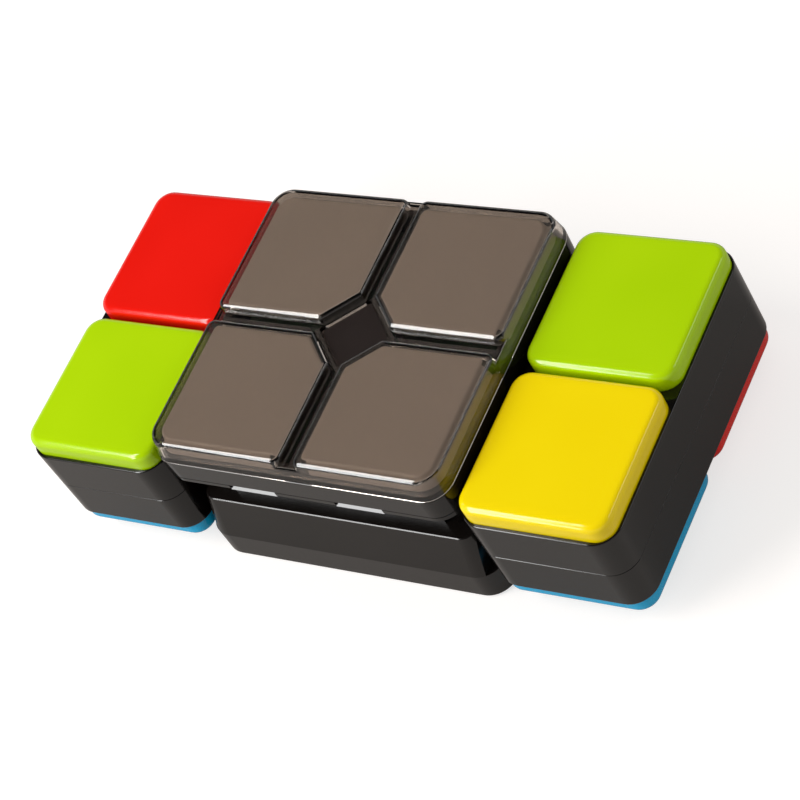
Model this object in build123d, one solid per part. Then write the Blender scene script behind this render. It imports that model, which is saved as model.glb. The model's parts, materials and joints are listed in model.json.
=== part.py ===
from build123d import *
import math
import os

# Electronic memory game: a lit centre module between two end blocks that slide and flip.
# X runs along the row of three modules, Y is its depth, Z is up from the surface it stands on.

# Centre module, outer sizes
centre_width = 90.4
centre_depth = 86.6
centre_height = 50.0
corner_radius = 7.0
flip_axis_height = 24.0
cover_height = 6.4
skirt_depth = 8.9
tray_top_height = 21.8
band_height = 9.2
shell_wall = 1.8
floor_thickness = 2.0

# Upper housing
seam_chamfer = 0.25
skirt_draft = 2.3
lip_inset = 1.3
lip_drop = 1.7
notch_inner_x = 9.2
notch_outer_x = 23.6
notch_depth = 0.9
notch_ledge_drop = 0.4
skirt_line_rise = 1.3
skirt_line_depth = 0.3
skirt_line_width = 0.25
waist_depth_x = 6.8
waist_depth_y = 7.3

# Lower housing
tray_draft = 15.0
tray_edge_chamfer = 0.2
band_step = 0.0
channel_depth = 3.3
foot_chamfer = 0.8

# Window cover
cover_draft = 12.0
cover_wall = 1.4
pad_rise = 2.3
pad_fillet = 1.6
valley_width = 3.2
valley_corner_radius = 2.6
pad_bevel_distance = 8.6
pad_bevel_radius = 1.2
cover_lip_depth = 1.6
cover_lip_thickness = 0.8
cover_fit = 0.1

# Diffusers, light box and start button
diffuser_thickness = 1.5
diffuser_wall = 1.2
diffuser_depth = 3.8
diffuser_fillet = 0.9
diffuser_corner_radius = 2.2
diffuser_side_gap = 0.28
diffuser_outer_trim = 0.98
diffuser_gap = 0.1
light_box_wall = 1.2
light_box_inset = 3.0
button_width = 15.0
button_drop = 1.0
button_travel = 0.8
button_side_gap = 0.2
button_flange_margin = 1.2
button_flange_thickness = 1.2
button_stem_radius = 3.0
switch_width = 6.0
switch_height = 3.6
plunger_radius = 1.6

# Main board
board_thickness = 1.6
board_boss_height = 1.1
board_edge_inset = 4.2
board_screw_inset_x = 9.2
board_screw_inset_y = 9.8
emitter_width = 5.0
emitter_height = 1.6
chip_width = 12.0
chip_height = 1.5

# Battery bay: three AAA cells side by side
cell_radius = 5.25
cell_length = 44.5
cell_nub_radius = 1.9
cell_nub_length = 1.0
cell_pitch = 11.4
cell_side_gap = 0.5
spring_room = 5.7
contact_thickness = 0.4
contact_half_width = 4.5
leaf_spring_half_height = 3.0
leaf_spring_half_width = 2.0
bay_wall = 1.4
bay_roof = 1.4
door_gap = 0.25
door_ledge = 1.2
door_tab_width = 12.0
door_tab_length = 8.0
door_hook_width = 6.0

# Speaker and power switch
speaker_radius = 10.4
speaker_height = 4.4
speaker_x = 29.0
grille_hole_radius = 0.8
grille_pitch = 3.0
power_switch_x = -30.0
knob_length = 4.6
knob_width = 4.4
knob_travel = 4.0
knob_recess = 0.3
power_body_width = 7.0
power_body_length = 13.0
power_body_height = 4.4

# Housing screws
housing_screw_inset_x = 20.2
housing_screw_inset_y = 11.8
screw_post_radius = 3.5
screw_head_radius = 2.5
screw_head_height = 1.6
screw_radius = 1.25
screw_clearance = 0.25

# Side rails between centre module and end blocks
side_gap = 0.6
rail_end_inset = 10.3
rail_pocket_half_height = 2.4
rail_clearance = 0.3
rail_head_thickness = 3.0
rail_neck_height = 5.0
rail_plate_thickness = 3.0
rail_plate_low = 8.5
guide_wall = 1.5
side_board_thickness = 1.2
side_board_length = 54.0
stop_rib_y = 30.0
stop_rib_height = 1.1
stop_rib_width = 2.0
sensor_spacing = 22.0
sensor_width = 3.0
sensor_thickness = 1.2
sensor_height = 4.0
slide_spring_half_length = 14.0
slide_spring_half_width = 2.0
slide_spring_thickness = 0.3
slide_spring_pocket = 1.3
slide_spring_pocket_half_length = 17.0

# End blocks
cap_size = 42.4
cap_gap = 1.6
cap_corner_radius = 5.2
cap_top_fillet = 2.0
cap_wall = 1.8
cap_stand = 5.3
cap_seat_depth = 1.5
cap_seat_gap = 0.15
cap_peg_radius = 1.5
cap_peg_inset = 9.0
block_rim_x = 0.9
block_rim_y = 1.1
block_half_height = 13.3
block_wall = 2.0
parting_groove = 0.12
top_edge_radius = 0.4

# Flip spigot and what sits on it
spigot_radius = 4.5
spigot_running_gap = 0.05
spigot_boss_radius = 7.5
spigot_boss_length = 5.0
spigot_end_gap = 0.3
ring_key_radius = 3.0
ring_radius = 8.0
ring_thickness = 4.0
ring_notch_radius = 1.2
washer_radius = 5.0
washer_thickness = 0.8
flip_spring_length = 30.0
flip_spring_thickness = 0.4
flip_spring_bump = 1.0
flip_spring_gap = 0.25
magnet_radius = 2.5
magnet_thickness = 3.0
magnet_raise = 6.5

# Sizes worked out from the ones above
half_x = centre_width / 2
half_y = centre_depth / 2
seam_height = centre_height - cover_height
skirt_bottom_height = seam_height - skirt_depth
cover_slope = math.tan(math.radians(cover_draft))
skirt_slope = math.tan(math.radians(skirt_draft))
tray_slope = math.tan(math.radians(tray_draft))
valley_floor_height = centre_height - pad_rise
lip_height = skirt_bottom_height - lip_drop
parting_height = (tray_top_height + lip_height) / 2
housing_screw_x = half_x - housing_screw_inset_x
housing_screw_y = half_y - housing_screw_inset_y
board_screw_x = half_x - board_screw_inset_x
board_screw_y = half_y - board_screw_inset_y
skirt_bottom_inset = (seam_height - skirt_bottom_height) * skirt_slope
upper_floor_top = skirt_bottom_height + 0.2
waist_x = half_x - waist_depth_x
waist_y = half_y - waist_depth_y
waist_wall = floor_thickness
channel_x = half_x - channel_depth
tray_top_inset = band_step + (tray_top_height - band_height) * tray_slope
tray_plate_low = tray_top_height - floor_thickness

head_outer_x = waist_x - waist_wall - rail_clearance
head_inner_x = head_outer_x - rail_head_thickness
guide_outer_x = head_inner_x - rail_clearance
guide_inner_x = guide_outer_x - guide_wall
neck_low = parting_height - rail_neck_height / 2
neck_high = parting_height + rail_neck_height / 2
head_low = tray_top_height + rail_clearance
head_high = lip_height - rail_clearance
block_inner_x = half_x + side_gap
plate_outer_x = block_inner_x - 0.4
plate_inner_x = plate_outer_x - rail_plate_thickness
plate_low = flip_axis_height - rail_plate_low
plate_high = lip_height - rail_clearance

board_low = upper_floor_top + board_boss_height
board_high = board_low + board_thickness
diffuser_high = centre_height - cover_wall - diffuser_gap
diffuser_low = diffuser_high - diffuser_depth
button_top = valley_floor_height - button_drop
cover_floor_low = valley_floor_height - cover_wall
flange_high = cover_floor_low - 0.3
flange_low = flange_high - button_flange_thickness
plunger_high = board_high + switch_height + button_travel + 0.1
button_flange_width = button_width + 2 * button_flange_margin
light_shaft_width = button_flange_width + 0.8

cell_axis_height = floor_thickness + 0.35 + cell_radius
bay_half_x = cell_pitch + cell_radius + cell_side_gap
bay_half_y = (cell_length + cell_nub_length + spring_room) / 2 + contact_thickness
bay_high = cell_axis_height + cell_radius + 0.4
door_half_x = bay_half_x + door_ledge
door_half_y = bay_half_y + door_ledge
door_screw_y = door_half_y + door_tab_length - door_tab_width / 2

block_width = cap_size + 2 * block_rim_x
block_depth = 2 * cap_size + cap_gap + 2 * block_rim_y
block_centre_x = block_inner_x + block_width / 2
block_low = flip_axis_height - block_half_height
block_high = flip_axis_height + block_half_height
cap_y = (cap_size + cap_gap) / 2
slide_travel = cap_size + cap_gap
spigot_shoulder_x = block_inner_x + block_wall + spigot_boss_length
ring_x = spigot_shoulder_x + spigot_end_gap
washer_x = ring_x + ring_thickness
screw_head_x = washer_x + washer_thickness
flip_spring_low = flip_axis_height + ring_radius + flip_spring_gap + flip_spring_bump
block_screw_x = block_width / 2 - 6.0
block_screw_y = block_depth / 2 - 6.5

quadrants = {"back_left": (-1, 1), "back_right": (1, 1), "front_left": (-1, -1), "front_right": (1, -1)}


def box(x, y, z):
    # a block between two x, two y and two z values
    solid = Box(x[1] - x[0], y[1] - y[0], z[1] - z[0])
    return Pos((x[0] + x[1]) / 2, (y[0] + y[1]) / 2, (z[0] + z[1]) / 2) * solid


def rod_z(x, y, radius, low, high):
    return Pos(x, y, (low + high) / 2) * Cylinder(radius, high - low)


def rod_x(y, z, radius, low, high):
    return Pos((low + high) / 2, y, z) * Rot(0, 90, 0) * Cylinder(radius, high - low)


def rod_y(x, z, radius, low, high):
    return Pos(x, (low + high) / 2, z) * Rot(90, 0, 0) * Cylinder(radius, high - low)


def rounded_block(half_width, half_depth, low, high, radius, draft=0.0):
    # upright block with rounded corners, drawn in by the draft angle as it rises
    outline = Pos(0, 0, low) * RectangleRounded(2 * half_width, 2 * half_depth, radius)
    return extrude(outline, amount=high - low, taper=draft)


def widening_block(half_width, half_depth, low, high, radius, draft):
    # the same block drawn in as it goes down from its top outline
    outline = Pos(0, 0, high) * RectangleRounded(2 * half_width, 2 * half_depth, radius)
    return extrude(outline, amount=-(high - low), dir=(0, 0, 1), taper=draft)


def turned(solid, quadrant):
    # a copy of the back right quarter's solid in another quarter
    x, y = quadrant
    if x < 0:
        solid = mirror(solid, about=Plane.YZ)
    if y < 0:
        solid = mirror(solid, about=Plane.XZ)
    return solid


def both_sides(solid):
    return [solid, mirror(solid, about=Plane.YZ)]


def joined(solids):
    whole = solids[0]
    for solid in solids[1:]:
        whole = whole + solid
    return whole


def pad_face(height, grow, trim=0.0, least=0.6):
    # outline of the back right window pad at a height, moved out by grow, its two outer sides in by trim
    outer_x = half_x - (height - seam_height) * cover_slope + grow - trim
    outer_y = half_y - (height - seam_height) * cover_slope + grow - trim
    lean = (height - valley_floor_height) * cover_slope
    inner = valley_width / 2 + lean - grow
    bevel = (pad_bevel_distance + lean - grow) * math.sqrt(2) - inner
    corners = [(outer_x, inner), (outer_x, outer_y), (inner, outer_y), (inner, bevel), (bevel, inner)]
    radii = [valley_corner_radius, corner_radius - (height - seam_height) * cover_slope,
             valley_corner_radius, pad_bevel_radius, pad_bevel_radius]
    face = make_face(Polyline(*corners, close=True))
    for corner, radius in zip(corners, radii):
        nearest = face.vertices().sort_by_distance((*corner, 0))[0]
        face = fillet(nearest, max(radius + grow, least))
    return Pos(0, 0, height) * face


def pad_prism(low, high, grow, draft, trim=0.0, least=0.6):
    return extrude(pad_face(low, grow, trim, least), amount=high - low, taper=draft)


def diamond(width, low, high, radius):
    outline = Pos(0, 0, low) * Rot(0, 0, 45) * RectangleRounded(width, width, radius)
    return extrude(outline, amount=high - low)


def window_cover():
    body = rounded_block(half_x, half_y, seam_height, valley_floor_height, corner_radius, cover_draft)
    pad = pad_prism(valley_floor_height, centre_height, 0.0, cover_draft)
    pad = fillet(pad.faces().sort_by(Axis.Z)[-1].edges(), pad_fillet)
    hollow_top = centre_height - cover_wall
    pad_hollow = pad_prism(cover_floor_low - 0.1, hollow_top, -cover_wall, cover_draft)
    for quadrant in quadrants.values():
        body = body + turned(pad, quadrant)
    hollow = rounded_block(half_x - cover_wall, half_y - cover_wall, seam_height, cover_floor_low,
                           corner_radius - cover_wall, cover_draft)
    for quadrant in quadrants.values():
        hollow = hollow + turned(pad_hollow, quadrant)
    body = body - hollow
    body = body - diamond(button_width + 2 * button_side_gap, cover_floor_low - 1, centre_height, 0.8)
    # ring that drops inside the skirt, joined to the cover wall above the seam
    lip_outer = shell_wall + cover_fit
    lip_inner = lip_outer + cover_lip_thickness
    lip_low = seam_height - cover_lip_depth
    lip_high = seam_height + cover_lip_thickness
    lip = rounded_block(half_x - lip_outer, half_y - lip_outer, lip_low, lip_high, corner_radius - lip_outer)
    lip = lip + rounded_block(half_x - 1.0, half_y - 1.0, seam_height, lip_high, corner_radius - 1.0)
    lip = lip - rounded_block(half_x - lip_inner, half_y - lip_inner, lip_low, lip_high,
                              corner_radius - lip_inner)
    return body + lip


def diffuser(quadrant):
    # shallow upturned tray that fills its window and stands on the light box
    tray = pad_prism(diffuser_low, diffuser_high, -cover_wall - diffuser_side_gap, cover_draft,
                     diffuser_outer_trim, diffuser_corner_radius)
    tray = fillet(tray.faces().sort_by(Axis.Z)[-1].edges(), diffuser_fillet)
    hollow = pad_prism(diffuser_low - 1, diffuser_high - diffuser_thickness,
                       -cover_wall - diffuser_side_gap - diffuser_wall, cover_draft, diffuser_outer_trim, 1.2)
    return turned(tray - hollow, quadrant)


def light_box():
    # four wells, one round each emitter, with a square shaft for the button in the middle
    inset = light_box_inset
    outer_x = half_x - inset
    outer_y = half_y - inset
    frame = rounded_block(outer_x, outer_y, board_high, diffuser_low, corner_radius - inset)
    inside = inset + light_box_wall
    frame = frame - rounded_block(half_x - inside, half_y - inside, board_high, diffuser_low,
                                  corner_radius - inside)
    half_rib = light_box_wall / 2
    rib_high = cover_floor_low - 0.1
    frame = frame + box((-outer_x + 0.5, outer_x - 0.5), (-half_rib, half_rib), (board_high, rib_high))
    frame = frame + box((-half_rib, half_rib), (-outer_y + 0.5, outer_y - 0.5), (board_high, rib_high))
    shaft = light_shaft_width + 2 * light_box_wall
    frame = frame - diamond(shaft + 0.4, diffuser_low - 0.1, centre_height, 1.0)
    frame = frame + diamond(shaft, board_high, diffuser_low - 0.1, 1.0)
    return frame - diamond(light_shaft_width, board_high - 1, centre_height, 0.8)


def start_button():
    key = diamond(button_width, flange_high - 0.1, button_top, 0.8)
    key = fillet(key.faces().sort_by(Axis.Z)[-1].edges(), 0.3)
    flange = diamond(button_flange_width, flange_low, flange_high, 1.5)
    stem = rod_z(0, 0, button_stem_radius, plunger_high, flange_low)
    return key + flange + stem


def start_switch_body():
    half = switch_width / 2
    body = box((-half, half), (-half, half), (board_high, board_high + switch_height))
    well = plunger_radius + 0.1
    return body - rod_z(0, 0, well, board_high + 0.6, board_high + switch_height + 1)


def start_switch_plunger():
    return rod_z(0, 0, plunger_radius, board_high + 0.7 + button_travel, plunger_high)


def stop_rib(sign, low, high):
    # catches the end of a groove in the rail head
    y = sign * stop_rib_y
    half = stop_rib_width / 2
    return box((head_inner_x + 0.2, head_outer_x - 0.2), (y - half, y + half), (low, high))


def upper_housing():
    low_x = half_x - skirt_bottom_inset
    low_y = half_y - skirt_bottom_inset
    body = widening_block(half_x, half_y, skirt_bottom_height, seam_height, corner_radius, skirt_draft)
    body = chamfer(body.faces().sort_by(Axis.Z)[-1].edges(), seam_chamfer)
    body = body - widening_block(half_x - shell_wall, half_y - shell_wall, upper_floor_top,
                                 seam_height, corner_radius - shell_wall, skirt_draft)
    body = body - skirt_line()
    body = body + rounded_block(low_x - lip_inset, low_y - lip_inset, lip_height, upper_floor_top,
                                corner_radius - lip_inset)
    for side in (-1, 1):
        for end in (-1, 1):
            body = body + lip_ledge(side, end, low_y)
            body = body - lip_notch(side, end, low_y)
    waist = rounded_block(waist_x, waist_y, parting_height, lip_height, corner_radius - 3.0)
    inside_y = waist_y - waist_wall
    waist = waist - box((-head_outer_x - rail_clearance, head_outer_x + rail_clearance),
                        (-inside_y, inside_y), (parting_height - 1, lip_height + 1))
    body = body + waist
    body = body - box((-guide_inner_x + 2.2, guide_inner_x - 2.2), (-inside_y, inside_y),
                      (parting_height - 1, upper_floor_top + 1))
    for channel in both_sides(rail_channel(parting_height - 1, lip_height)):
        body = body - channel
    guide = box((guide_inner_x, guide_outer_x), (-inside_y - 1, inside_y + 1), (parting_height, lip_height))
    for wall in both_sides(guide):
        body = body + wall
    for rib in both_sides(stop_rib(1, lip_height - stop_rib_height, lip_height + 0.1)):
        body = body + rib
    for x in (-housing_screw_x, housing_screw_x):
        for y in (-housing_screw_y, housing_screw_y):
            body = body + rod_z(x, y, screw_post_radius, parting_height, upper_floor_top)
            body = body - rod_z(x, y, screw_radius, parting_height - 1, lip_height)
    for x in (-board_screw_x, board_screw_x):
        for y in (-board_screw_y, board_screw_y):
            body = body + rod_z(x, y, screw_post_radius, upper_floor_top - 0.1, board_low)
            body = body - rod_z(x, y, screw_radius, lip_height + 0.6, board_low + 1)
    return body


def skirt_line():
    # shallow line that sets the skirt's lowest band off, all the way round
    low = skirt_bottom_height + skirt_line_rise
    inset = (seam_height - low) * skirt_slope + skirt_line_depth
    ring = rounded_block(half_x + 2, half_y + 2, low, low + skirt_line_width, corner_radius)
    return ring - rounded_block(half_x - inset, half_y - inset, low, low + skirt_line_width,
                                corner_radius - skirt_line_depth)


def lip_ledge(side, end, low_y):
    # short ledge under the skirt that a notch facet starts from
    ledge = box((notch_inner_x, notch_outer_x), (low_y - lip_inset - 0.2, low_y),
                (skirt_bottom_height - notch_ledge_drop, skirt_bottom_height + 0.1))
    return turned(turned(ledge, (side, 1)), (1, end))


def lip_notch(side, end, low_y):
    # facet that leans back from the ledge's lower edge, under the line round the skirt
    low = skirt_bottom_height - notch_ledge_drop
    top = skirt_bottom_height + skirt_line_rise + skirt_line_width
    back = low_y - notch_depth
    profile = Polyline((low_y + 1, low - 1), (back, low + notch_depth), (back, top), (low_y + 1, top),
                       close=True)
    notch = extrude(Plane.YZ * make_face(profile), amount=notch_outer_x - notch_inner_x)
    notch = Pos(notch_inner_x, 0, 0) * notch
    return turned(turned(notch, (side, 1)), (1, end))


def rail_channel(low, high):
    # the T slot that the rail runs in, open at both ends
    run = centre_depth
    head = box((guide_outer_x, head_outer_x + rail_clearance), (-run, run),
               (tray_top_height, min(high, lip_height)))
    neck = box((head_outer_x, half_x + 1), (-run, run), (neck_low - rail_clearance, neck_high + rail_clearance))
    slab = box((0, half_x + 2), (-run, run), (low, high))
    return (head + neck) & slab


def tray_block(inset, low, high):
    # the drafted part of the lower housing, moved in by a wall thickness
    start = band_step + inset + (low - band_height) * tray_slope
    return rounded_block(half_x - start, half_y - start, low, high,
                         max(corner_radius - inset, 2.0), tray_draft)


def lower_housing():
    body = rounded_block(half_x, half_y, 0, band_height, corner_radius)
    body = chamfer(body.faces().sort_by(Axis.Z)[0].edges(), foot_chamfer)
    tray = tray_block(0, band_height, tray_top_height)
    body = body + chamfer(tray.faces().sort_by(Axis.Z)[-1].edges(), tray_edge_chamfer)
    for side in both_sides(box((channel_x, half_x + 5), (-half_y - 1, half_y + 1),
                               (band_height, tray_top_height + 1))):
        body = body - side
    hollow = rounded_block(half_x - shell_wall, half_y - shell_wall, floor_thickness,
                           band_height - shell_wall, corner_radius - shell_wall)
    upper_hollow = tray_block(shell_wall, band_height - shell_wall - 0.1, tray_plate_low)
    upper_hollow = upper_hollow & box((-channel_x + shell_wall, channel_x - shell_wall),
                                      (-half_y, half_y), (0, tray_top_height))
    body = body - hollow - upper_hollow
    inside_y = waist_y - waist_wall
    waist = rounded_block(waist_x, waist_y, tray_plate_low, parting_height, corner_radius - 3.0)
    body = body + waist
    body = body - box((-guide_inner_x + 2.2, guide_inner_x - 2.2), (-inside_y, inside_y),
                      (tray_plate_low - 1, parting_height + 1))
    body = body - box((-head_outer_x - rail_clearance, head_outer_x + rail_clearance),
                      (-inside_y, inside_y), (tray_top_height, parting_height + 1))
    for channel in both_sides(rail_channel(tray_top_height, parting_height + 1)):
        body = body - channel
    guide = box((guide_inner_x, guide_outer_x), (-inside_y - 1, inside_y + 1),
                (tray_top_height, parting_height))
    for wall in both_sides(guide):
        body = body + wall
    for rib in both_sides(stop_rib(-1, tray_top_height - 0.1, tray_top_height + stop_rib_height)):
        body = body + rib
    body = body + battery_bay() - door_outline(0, 0, floor_thickness)
    body = body - bay_hollow() - door_hook_slots()
    body = body + rod_z(0, door_screw_y, 3.0, floor_thickness, floor_thickness + 9)
    body = body - rod_z(0, door_screw_y, screw_radius, floor_thickness - 1, floor_thickness + 8)
    for x in (-housing_screw_x, housing_screw_x):
        for y in (-housing_screw_y, housing_screw_y):
            body = body + rod_z(x, y, screw_post_radius, 0.5, parting_height)
            body = body - rod_z(x, y, screw_radius + screw_clearance, -1, parting_height + 1)
            body = body - rod_z(x, y, screw_head_radius + screw_clearance, -1, screw_seat_height())
    body = body - speaker_grille() + speaker_rim()
    slot_half = (knob_length + knob_travel) / 2 + 0.3
    x = power_switch_x
    body = body - box((x - knob_width / 2 - 0.3, x + knob_width / 2 + 0.3), (-slot_half, slot_half),
                      (-1, floor_thickness + 1))
    return body


def screw_seat_height():
    return 4.0


def battery_bay():
    shell = box((-bay_half_x - bay_wall, bay_half_x + bay_wall),
                (-bay_half_y - bay_wall, bay_half_y + bay_wall), (floor_thickness, bay_high + bay_roof))
    return shell


def bay_hollow():
    return box((-bay_half_x, bay_half_x), (-bay_half_y, bay_half_y), (-1, bay_high))


def door_outline(gap, low, high):
    # the door plate with its screw tab; gap makes the plate smaller than the opening
    plate = box((-door_half_x + gap, door_half_x - gap), (-door_half_y + gap, door_half_y - gap), (low, high))
    half_tab = door_tab_width / 2 - gap
    tab = box((-half_tab, half_tab), (0, door_screw_y), (low, high))
    return plate + tab + rod_z(0, door_screw_y, half_tab, low, high)


def door_hooks(gap):
    # two hooks on the door's front edge that reach over the housing floor
    hooks = []
    for x in (-bay_half_x / 2, bay_half_x / 2):
        half = door_hook_width / 2 + gap
        hooks.append(box((x - half, x + half), (-door_half_y - 1.2 - gap, -bay_half_y + 0.4),
                         (floor_thickness, floor_thickness + 1.2 + gap)))
    return hooks


def door_hook_slots():
    return joined(door_hooks(0.25))


def battery_door():
    door = door_outline(door_gap, 0.1, floor_thickness - 0.1)
    for hook in door_hooks(0.0):
        root = Pos(0, 0, -0.2) * hook
        trim = box((-half_x, half_x), (-half_y, -door_half_y + door_gap), (0, floor_thickness + 0.05))
        door = door + ((hook + root) - trim)
    door = door - rod_z(0, door_screw_y, screw_radius + screw_clearance, -1, floor_thickness + 1)
    door = door - rod_z(0, door_screw_y, screw_head_radius + screw_clearance, -1, 1.0)
    for index in range(5):
        y = -door_half_y + 4.0 + index * 1.8
        door = door - box((-7, 7), (y, y + 0.8), (-1, 0.5))
    return door


def battery_door_screw():
    head = rod_z(0, door_screw_y, screw_head_radius, 0.15, 1.0)
    shank = rod_z(0, door_screw_y, screw_radius, 1.0, floor_thickness + 7)
    return head + shank - cross_slot(0, door_screw_y, 0.15)


def cross_slot(x, y, low):
    slot = box((x - 1.4, x + 1.4), (y - 0.3, y + 0.3), (low - 1, low + 0.5))
    return slot + box((x - 0.3, x + 0.3), (y - 1.4, y + 1.4), (low - 1, low + 0.5))


def housing_screws():
    screws = []
    for x in (-housing_screw_x, housing_screw_x):
        for y in (-housing_screw_y, housing_screw_y):
            seat = screw_seat_height()
            head = rod_z(x, y, screw_head_radius, seat - screw_head_height, seat)
            shank = rod_z(x, y, screw_radius, seat, lip_height - 0.5)
            screws.append(head + shank - cross_slot(x, y, seat - screw_head_height))
    return screws


def battery(index):
    # cells lie side by side and point opposite ways in turn
    x = (index - 1) * cell_pitch
    way = -1 if index == 1 else 1
    nub_end = bay_half_y - contact_thickness
    low = nub_end - cell_nub_length - cell_length
    can = rod_y(x, cell_axis_height, cell_radius, low, nub_end - cell_nub_length)
    can = chamfer(can.edges(), 0.4)
    cell = can + rod_y(x, cell_axis_height, cell_nub_radius, nub_end - cell_nub_length - 0.1, nub_end)
    return cell if way > 0 else mirror(cell, about=Plane.XZ)


def battery_contact_plates():
    plates = []
    for index in range(3):
        x = (index - 1) * cell_pitch
        for side in (-1, 1):
            near = bay_half_y - contact_thickness
            plate = box((x - contact_half_width, x + contact_half_width), (near, bay_half_y),
                        (floor_thickness + 1.5, bay_high))
            plates.append(plate if side > 0 else mirror(plate, about=Plane.XZ))
    return plates


def battery_leaf_springs():
    # a folded strip at the flat end of each cell
    springs = []
    near = bay_half_y - contact_thickness
    flat = near - spring_room
    for index in range(3):
        x = (index - 1) * cell_pitch
        thick = contact_thickness
        low = cell_axis_height - leaf_spring_half_height
        high = cell_axis_height + leaf_spring_half_height
        side = Polyline((near, low), (flat, cell_axis_height), (near, high), (near, high - thick * 1.4),
                        (flat + thick * 1.2, cell_axis_height), (near, low + thick * 1.4), close=True)
        strip = extrude(Plane.YZ * make_face(side), amount=leaf_spring_half_width, both=True)
        spring = Pos(x, 0, 0) * strip
        springs.append(spring if index == 1 else mirror(spring, about=Plane.XZ))
    return springs


def main_board():
    board = rounded_block(half_x - board_edge_inset, half_y - board_edge_inset, board_low, board_high, 3.0)
    for x in (-board_screw_x, board_screw_x):
        for y in (-board_screw_y, board_screw_y):
            board = board - rod_z(x, y, screw_radius + screw_clearance, board_low - 1, board_high + 1)
    return board


def board_screws():
    screws = []
    for x in (-board_screw_x, board_screw_x):
        for y in (-board_screw_y, board_screw_y):
            head = rod_z(x, y, screw_head_radius, board_high, board_high + 1.2)
            shank = rod_z(x, y, screw_radius, lip_height + 1.0, board_high)
            screws.append(head + shank)
    return screws


def light_emitters():
    emitters = []
    half = emitter_width / 2
    for x, y in quadrants.values():
        centre_x = x * half_x * 0.47
        centre_y = y * half_y * 0.47
        emitter = box((centre_x - half, centre_x + half), (centre_y - half, centre_y + half),
                      (board_high, board_high + emitter_height))
        lens = rod_z(centre_x, centre_y, half * 0.7, board_high + emitter_height - 0.01,
                     board_high + emitter_height + 0.5)
        emitters.append(emitter + lens)
    return emitters


def controller_chip():
    half = chip_width / 2
    chip = box((-half, half), (-half + 14, half + 14), (board_low - chip_height, board_low))
    return chamfer(chip.edges().filter_by(Axis.Z), 0.4)


def speaker():
    low = floor_thickness
    rim = rod_z(speaker_x, 0, speaker_radius, low, low + speaker_height * 0.45)
    magnet = rod_z(speaker_x, 0, speaker_radius * 0.6, low, low + speaker_height)
    cone = Pos(speaker_x, 0, low + 0.6) * Cone(speaker_radius * 0.8, speaker_radius * 0.35, 1.2)
    return rim + magnet - cone


def speaker_rim():
    wall = rod_z(speaker_x, 0, speaker_radius + 1.3, floor_thickness - 0.1, floor_thickness + 2.5)
    return wall - rod_z(speaker_x, 0, speaker_radius + 0.1, floor_thickness - 0.2, floor_thickness + 3)


def speaker_grille():
    # one hole in the middle and two rings of holes round it
    holes = [rod_z(speaker_x, 0, grille_hole_radius, -1, floor_thickness + 0.2)]
    for ring in (1, 2):
        for index in range(6 * ring):
            angle = math.radians(60 / ring * index)
            x = speaker_x + ring * grille_pitch * math.cos(angle)
            y = ring * grille_pitch * math.sin(angle)
            holes.append(rod_z(x, y, grille_hole_radius, -1, floor_thickness + 0.2))
    return joined(holes)


def power_switch_body():
    x = power_switch_x
    high = floor_thickness + power_body_height
    body = box((x - power_body_width / 2, x + power_body_width / 2),
               (-power_body_length / 2, power_body_length / 2), (floor_thickness, high))
    reach = (knob_travel + 2.4) / 2 + 0.3
    return body - box((x - 1.4, x + 1.4), (-reach, reach), (floor_thickness - 1, high - 1.0))


def power_switch_knob():
    # stands at the off end of its slot
    x = power_switch_x
    centre = -knob_travel / 2
    cap = box((x - knob_width / 2, x + knob_width / 2), (centre - knob_length / 2, centre + knob_length / 2),
              (knob_recess, floor_thickness - 0.2))
    for step in (-1, 0, 1):
        y = centre + step * 1.3
        cap = cap - box((x - knob_width, x + knob_width), (y - 0.25, y + 0.25), (knob_recess - 1, knob_recess + 0.3))
    stem = box((x - 1.2, x + 1.2), (centre - 1.2, centre + 1.2), (floor_thickness - 0.3, floor_thickness + 2.6))
    return cap + stem


def side_board():
    inner = guide_inner_x - side_board_thickness - 0.1
    half = side_board_length / 2
    return box((inner, inner + side_board_thickness), (-half, half), (tray_top_height, lip_height - 0.1))


def side_sensors():
    face = guide_inner_x - side_board_thickness - 0.1
    half = sensor_width / 2
    sensors = []
    for y in (-sensor_spacing, 0, sensor_spacing):
        sensors.append(box((face - sensor_thickness, face), (y - half, y + half),
                           (parting_height, parting_height + sensor_height)))
    return sensors


def carriage():
    # head and neck run in the slot, the plate hangs outside it and carries the spigot
    half = half_y - rail_end_inset
    body = box((head_inner_x, head_outer_x), (-half, half), (head_low, head_high))
    body = body + box((head_outer_x - 0.1, plate_inner_x + 0.1), (-half, half), (neck_low, neck_high))
    plate = box((plate_inner_x, plate_outer_x), (-half, half), (plate_low, plate_high))
    plate = fillet(plate.edges().filter_by(Axis.X), 3.0)
    body = body + plate
    groove_end = stop_rib_y - slide_travel - stop_rib_width / 2
    lane = (head_inner_x - 1, head_outer_x + 0.05)
    depth = stop_rib_height
    body = body - box(lane, (groove_end, half + 1), (head_high - depth, head_high + 1))
    body = body - box(lane, (-half - 1, -groove_end), (head_low - 1, head_low + depth))
    body = body - box((head_inner_x - 1, head_inner_x + slide_spring_pocket),
                      (-slide_spring_pocket_half_length, slide_spring_pocket_half_length),
                      (parting_height - rail_pocket_half_height, parting_height + rail_pocket_half_height))
    body = body + rod_x(0, flip_axis_height, spigot_radius, plate_outer_x - 0.1, ring_x)
    body = body + rod_x(0, flip_axis_height, ring_key_radius, ring_x - 0.1, washer_x - 0.1) - key_flats()
    pilot = rod_x(0, flip_axis_height, screw_radius, ring_x - 4, washer_x + 1)
    return body - pilot


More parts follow.
